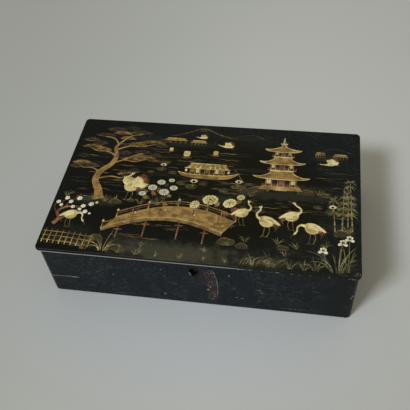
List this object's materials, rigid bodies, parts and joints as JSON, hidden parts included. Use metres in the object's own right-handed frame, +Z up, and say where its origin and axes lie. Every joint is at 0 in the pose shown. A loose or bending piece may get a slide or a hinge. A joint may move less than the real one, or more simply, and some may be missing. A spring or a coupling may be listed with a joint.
{
  "type": "writing box",
  "caption": "Rectangular lacquered writing box with a thin overhanging hinged lid, a box lock with a keyhole in front, and inside an inkstone, water dropper, ink stick and brush tray.",
  "frame": {"origin": "centre of the footprint, on the surface that the box stands on", "axes": "+X along the box's length, left to right seen from the front; -Y the front with the keyhole; +Y the hinged back; +Z up"},
  "size_m": [0.24, 0.145, 0.06],
  "materials": {
    "black_lacquer": "black lacquered wood, satin, worn pale along the front edge of the lid",
    "bare_wood": "plain planed wood",
    "gold_picture": "raised powdered gold in ochre, straw and brown tones",
    "bamboo": "smooth bamboo",
    "brass": "aged brass",
    "slate": "opaque dark slate, matt",
    "porcelain": "opaque glazed white porcelain",
    "ink": "pressed soot ink, dull black",
    "hair": "brown animal hair"
  },
  "bodies": {
    "case": {"front_board": "black_lacquer", "back_board": "black_lacquer", "left_board": "black_lacquer", "right_board": "black_lacquer", "bottom_board": "black_lacquer", "bottom_pegs": "bamboo", "ledge_left": "black_lacquer", "ledge_right": "black_lacquer", "seat_board": "black_lacquer", "inkstone": "slate", "water_dropper": "porcelain", "ink_stick": "ink", "tray_floor_board": "black_lacquer", "tray_rail_front": "black_lacquer", "tray_rail_back": "black_lacquer", "tray_end_left": "black_lacquer", "tray_end_right": "black_lacquer", "brush_rest_left": "black_lacquer", "brush_rest_right": "black_lacquer", "brush_handle_large": "bamboo", "brush_tip_large": "hair", "brush_handle_small": "bamboo", "brush_tip_small": "hair", "hinge_leaf_case_left": "brass", "hinge_leaf_case_right": "brass", "hinge_pin_left": "brass", "hinge_pin_right": "brass", "hinge_screws_case": "brass", "lock_plate": "brass", "lock_rim": "brass", "lock_cap": "brass", "lock_rivets": "brass", "lock_key_pin": "brass", "lock_screws": "brass", "bolt_spring": "brass", "keyhole_escutcheon": "brass"},
    "lid": {"lid_board": "black_lacquer", "hinge_leaf_lid_left": "brass", "hinge_leaf_lid_right": "brass", "hinge_screws_lid": "brass", "link_plate": "brass", "link_plate_screws": "brass"},
    "bolt": {"lock_bolt": "brass"}
  },
  "joints": [
    {"name": "lid_hinge", "type": "hinge", "parent": "case", "child": "lid", "pos_m": [0, 0.0709, 0.0565], "axis": [-1, 0, 0], "range_deg": [0, 110]},
    {"name": "bolt_throw", "type": "slide", "parent": "case", "child": "bolt", "axis": [-1, 0, 0], "range_m": [0, 0.0024]}
  ]
}
